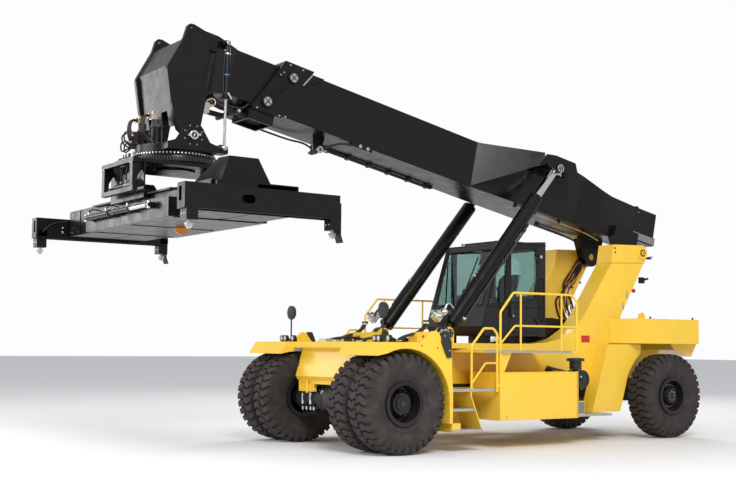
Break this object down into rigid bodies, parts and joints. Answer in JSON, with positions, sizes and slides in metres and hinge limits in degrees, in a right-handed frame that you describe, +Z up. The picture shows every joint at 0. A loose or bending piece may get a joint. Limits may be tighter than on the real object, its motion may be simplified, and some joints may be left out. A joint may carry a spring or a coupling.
{
  "type": "reach stacker",
  "caption": "Container reach stacker with a telescopic lifting boom and a slewing, side-shifting, telescopic top-lift spreader, on pneumatic tyres.",
  "frame": {"origin": "on the ground, under the middle of the machine's length and width", "axes": "+X forwards, to the spreader; +Y to the operator's left; +Z up"},
  "size_m": [12.1174, 6.06, 6.7166],
  "materials": {
    "yellow_paint": "gloss paint",
    "black_paint": "satin paint",
    "cab_paint": "satin paint",
    "glass": "tinted clear",
    "dark_plastic": "matte",
    "seat_fabric": "woven",
    "cast_steel": "painted casting",
    "chrome": "polished",
    "bright_steel": "brushed",
    "tyre": "matte rubber",
    "rim_paint": "satin paint",
    "lamp": "frosted lens"
  },
  "bodies": {
    "chassis": {"frame": "yellow_paint", "fenders": "yellow_paint", "boom_towers": "yellow_paint", "counterweight": "yellow_paint", "side_boxes": "yellow_paint", "tanks": "yellow_paint", "steps": "yellow_paint", "handrails": "yellow_paint", "engine": "cast_steel", "engine_hood": "black_paint", "air_cleaner": "dark_plastic", "cab_shell": "cab_paint", "cab_glass": "glass", "driver_seat": "seat_fabric", "cab_console": "dark_plastic", "work_lamps": "lamp", "lamp_housings": "dark_plastic", "hose_brackets": "dark_plastic", "mirrors": "dark_plastic", "drive_axle": "cast_steel", "steer_axle": "cast_steel", "lift_feet": "yellow_paint"},
    "drive_wheels_left": {"drive_rims_left": "rim_paint", "drive_tyres_left": "tyre"},
    "knuckle_left": {"knuckle_left": "cast_steel"},
    "steer_wheel_left": {"steer_rim_left": "rim_paint", "steer_tyre_left": "tyre"},
    "door_left": {"cab_door_left": "cab_paint", "door_glass_left": "glass"},
    "lift_barrel_left": {"lift_barrel_left": "black_paint"},
    "lift_rod_left": {"lift_rod_left": "chrome"},
    "drive_wheels_right": {"drive_rims_right": "rim_paint", "drive_tyres_right": "tyre"},
    "knuckle_right": {"knuckle_right": "cast_steel"},
    "steer_wheel_right": {"steer_rim_right": "rim_paint", "steer_tyre_right": "tyre"},
    "door_right": {"cab_door_right": "cab_paint", "door_glass_right": "glass"},
    "lift_barrel_right": {"lift_barrel_right": "black_paint"},
    "lift_rod_right": {"lift_rod_right": "chrome"},
    "outer_boom": {"outer_boom": "black_paint"},
    "inner_boom": {"inner_boom": "black_paint"},
    "yoke": {"head_yoke": "black_paint", "slew_drives": "black_paint"},
    "damper_barrels": {"damper_barrels": "black_paint"},
    "damper_rods": {"damper_rods": "chrome"},
    "slew_carriage": {"slew_carriage": "black_paint"},
    "spreader": {"spreader_frame": "black_paint"},
    "end_beam_left": {"end_beam_left": "black_paint"},
    "end_beam_right": {"end_beam_right": "black_paint"},
    "twistlock_front_left": {"twistlock_front_left": "bright_steel"},
    "twistlock_rear_left": {"twistlock_rear_left": "bright_steel"},
    "twistlock_front_right": {"twistlock_front_right": "bright_steel"},
    "twistlock_rear_right": {"twistlock_rear_right": "bright_steel"}
  },
  "joints": [
    {"name": "drive_spin_left", "type": "hinge", "parent": "chassis", "child": "drive_wheels_left", "pos_m": [1.72128, 1.83, 0.81], "axis": [0, 1, 0], "continuous": true},
    {"name": "drive_spin_right", "type": "hinge", "parent": "chassis", "child": "drive_wheels_right", "pos_m": [1.72128, -1.83, 0.81], "axis": [0, 1, 0], "continuous": true},
    {"name": "steer_left", "type": "hinge", "parent": "chassis", "child": "knuckle_left", "pos_m": [-5.02872, 1.14, 0.81], "axis": [0, 0, 1], "range_deg": [-40, 40]},
    {"name": "steer_spin_left", "type": "hinge", "parent": "knuckle_left", "child": "steer_wheel_left", "pos_m": [-5.02872, 1.41, 0.81], "axis": [0, 1, 0], "continuous": true},
    {"name": "steer_right", "type": "hinge", "parent": "chassis", "child": "knuckle_right", "pos_m": [-5.02872, -1.14, 0.81], "axis": [0, 0, 1], "range_deg": [-40, 40]},
    {"name": "steer_spin_right", "type": "hinge", "parent": "knuckle_right", "child": "steer_wheel_right", "pos_m": [-5.02872, -1.41, 0.81], "axis": [0, 1, 0], "continuous": true},
    {"name": "door_hinge_left", "type": "hinge", "parent": "chassis", "child": "door_left", "pos_m": [-2.23572, 0.834, 2.8], "axis": [0, 0, 1], "range_deg": [0, 95]},
    {"name": "door_hinge_right", "type": "hinge", "parent": "chassis", "child": "door_right", "pos_m": [-2.23572, -0.834, 2.8], "axis": [0, 0, -1], "range_deg": [0, 95]},
    {"name": "boom_lift", "type": "hinge", "parent": "chassis", "child": "outer_boom", "pos_m": [-4.85872, 0, 3.62], "axis": [0, 1, 0], "range_deg": [-48.46, 11.54]},
    {"name": "boom_extend", "type": "slide", "parent": "outer_boom", "child": "inner_boom", "axis": [0.9798, 0, 0.2001], "range_m": [0, 6.5]},
    {"name": "lift_swing_left", "type": "hinge", "parent": "chassis", "child": "lift_barrel_left", "pos_m": [0.10128, 0.98, 1.96], "axis": [0, 1, 0], "range_deg": [-6, 3]},
    {"name": "lift_stroke_left", "type": "slide", "parent": "lift_barrel_left", "child": "lift_rod_left", "axis": [-0.6433, 0, 0.7656], "range_m": [-0.551, 2.248]},
    {"name": "lift_swing_right", "type": "hinge", "parent": "chassis", "child": "lift_barrel_right", "pos_m": [0.10128, -0.98, 1.96], "axis": [0, 1, 0], "range_deg": [-6, 3]},
    {"name": "lift_stroke_right", "type": "slide", "parent": "lift_barrel_right", "child": "lift_rod_right", "axis": [-0.6433, 0, 0.7656], "range_m": [-0.551, 2.248]},
    {"name": "yoke_swing", "type": "hinge", "parent": "inner_boom", "child": "yoke", "pos_m": [4.81372, 0, 4.96008], "axis": [0, -1, 0], "range_deg": [-50, 13]},
    {"name": "damper_swing", "type": "hinge", "parent": "inner_boom", "child": "damper_barrels", "pos_m": [4.27372, 0, 6.48008], "axis": [0, 1, 0], "range_deg": [-4, 2]},
    {"name": "damper_stroke", "type": "slide", "parent": "damper_barrels", "child": "damper_rods", "axis": [0.018, 0, -0.9998], "range_m": [-0.455, 0.126]},
    {"name": "slew", "type": "hinge", "parent": "yoke", "child": "slew_carriage", "pos_m": [4.81372, 0, 4.62508], "axis": [0, 0, 1], "range_deg": [-195, 105]},
    {"name": "side_shift", "type": "slide", "parent": "slew_carriage", "child": "spreader", "axis": [0, 1, 0], "range_m": [-0.8, 0.8]},
    {"name": "telescope_left", "type": "slide", "parent": "spreader", "child": "end_beam_left", "axis": [0, 1, 0], "range_m": [0, 3.066]},
    {"name": "telescope_right", "type": "slide", "parent": "spreader", "child": "end_beam_right", "axis": [0, -1, 0], "range_m": [0, 3.066]},
    {"name": "twistlock_turn_front_left", "type": "hinge", "parent": "end_beam_left", "child": "twistlock_front_left", "pos_m": [5.94322, 2.9265, 3.37408], "axis": [0, 0, 1], "range_deg": [0, 90]},
    {"name": "twistlock_turn_rear_left", "type": "hinge", "parent": "end_beam_left", "child": "twistlock_rear_left", "pos_m": [3.68422, 2.9265, 3.37408], "axis": [0, 0, 1], "range_deg": [0, 90]},
    {"name": "twistlock_turn_front_right", "type": "hinge", "parent": "end_beam_right", "child": "twistlock_front_right", "pos_m": [5.94322, -2.9265, 3.37408], "axis": [0, 0, 1], "range_deg": [0, 90]},
    {"name": "twistlock_turn_rear_right", "type": "hinge", "parent": "end_beam_right", "child": "twistlock_rear_right", "pos_m": [3.68422, -2.9265, 3.37408], "axis": [0, 0, 1], "range_deg": [0, 90]}
  ],
  "couplings": [
    {"joint": "steer_right", "follows": "steer_left", "ratio": 1},
    {"joint": "lift_swing_left", "follows": "boom_lift", "ratio": 0.0928},
    {"joint": "lift_stroke_left", "follows": "boom_lift", "m_per_rad": -2.6344},
    {"joint": "lift_swing_right", "follows": "boom_lift", "ratio": 0.0928},
    {"joint": "lift_stroke_right", "follows": "boom_lift", "m_per_rad": -2.6344},
    {"joint": "damper_swing", "follows": "yoke_swing", "ratio": 0.043},
    {"joint": "damper_stroke", "follows": "yoke_swing", "m_per_rad": 0.5102},
    {"joint": "telescope_right", "follows": "telescope_left", "ratio": 1},
    {"joint": "twistlock_turn_rear_left", "follows": "twistlock_turn_front_left", "ratio": 1},
    {"joint": "twistlock_turn_rear_right", "follows": "twistlock_turn_front_right", "ratio": 1}
  ]
}
